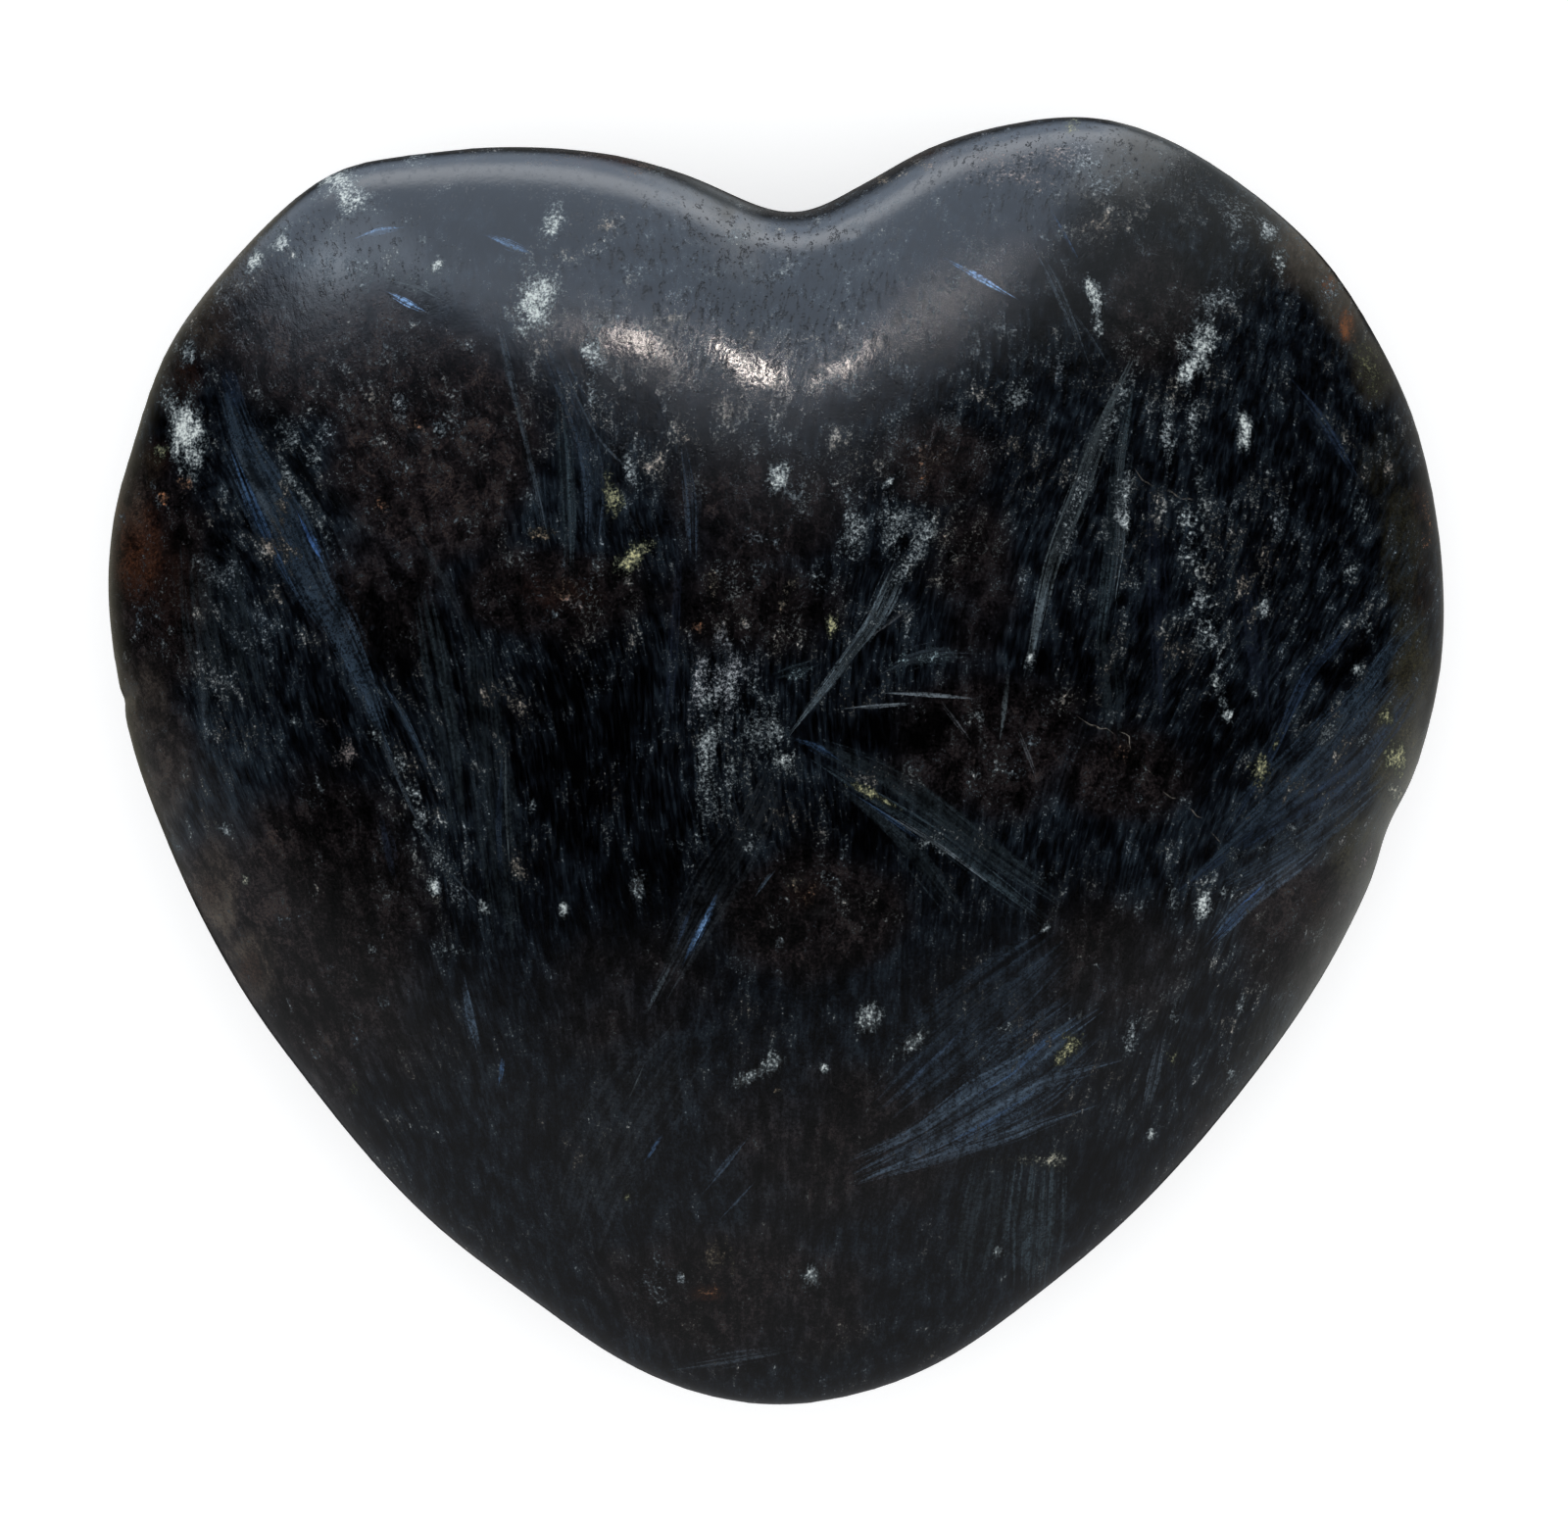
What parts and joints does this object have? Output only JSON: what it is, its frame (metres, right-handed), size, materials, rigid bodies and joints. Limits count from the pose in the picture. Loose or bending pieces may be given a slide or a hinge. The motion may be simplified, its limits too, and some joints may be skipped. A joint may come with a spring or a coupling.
{
  "type": "astrophyllite heart",
  "caption": "Polished puffy heart cut from near-black astrophyllite rock with steel-blue bladed sprays, domed on both faces, with a small ground flat on its back to lie on.",
  "frame": {"origin": "middle of the heart's footprint, on the surface that it lies on, level with the ground flat on its back", "axes": "+Z out of the front face, +Y from the tip towards the notch between the lobes, +X to the right lobe seen from the front"},
  "size_m": [0.0701, 0.0677, 0.023],
  "materials": {
    "polished_stone": "polished"
  },
  "bodies": {
    "root": {"heart": "polished_stone"}
  },
  "joints": []
}
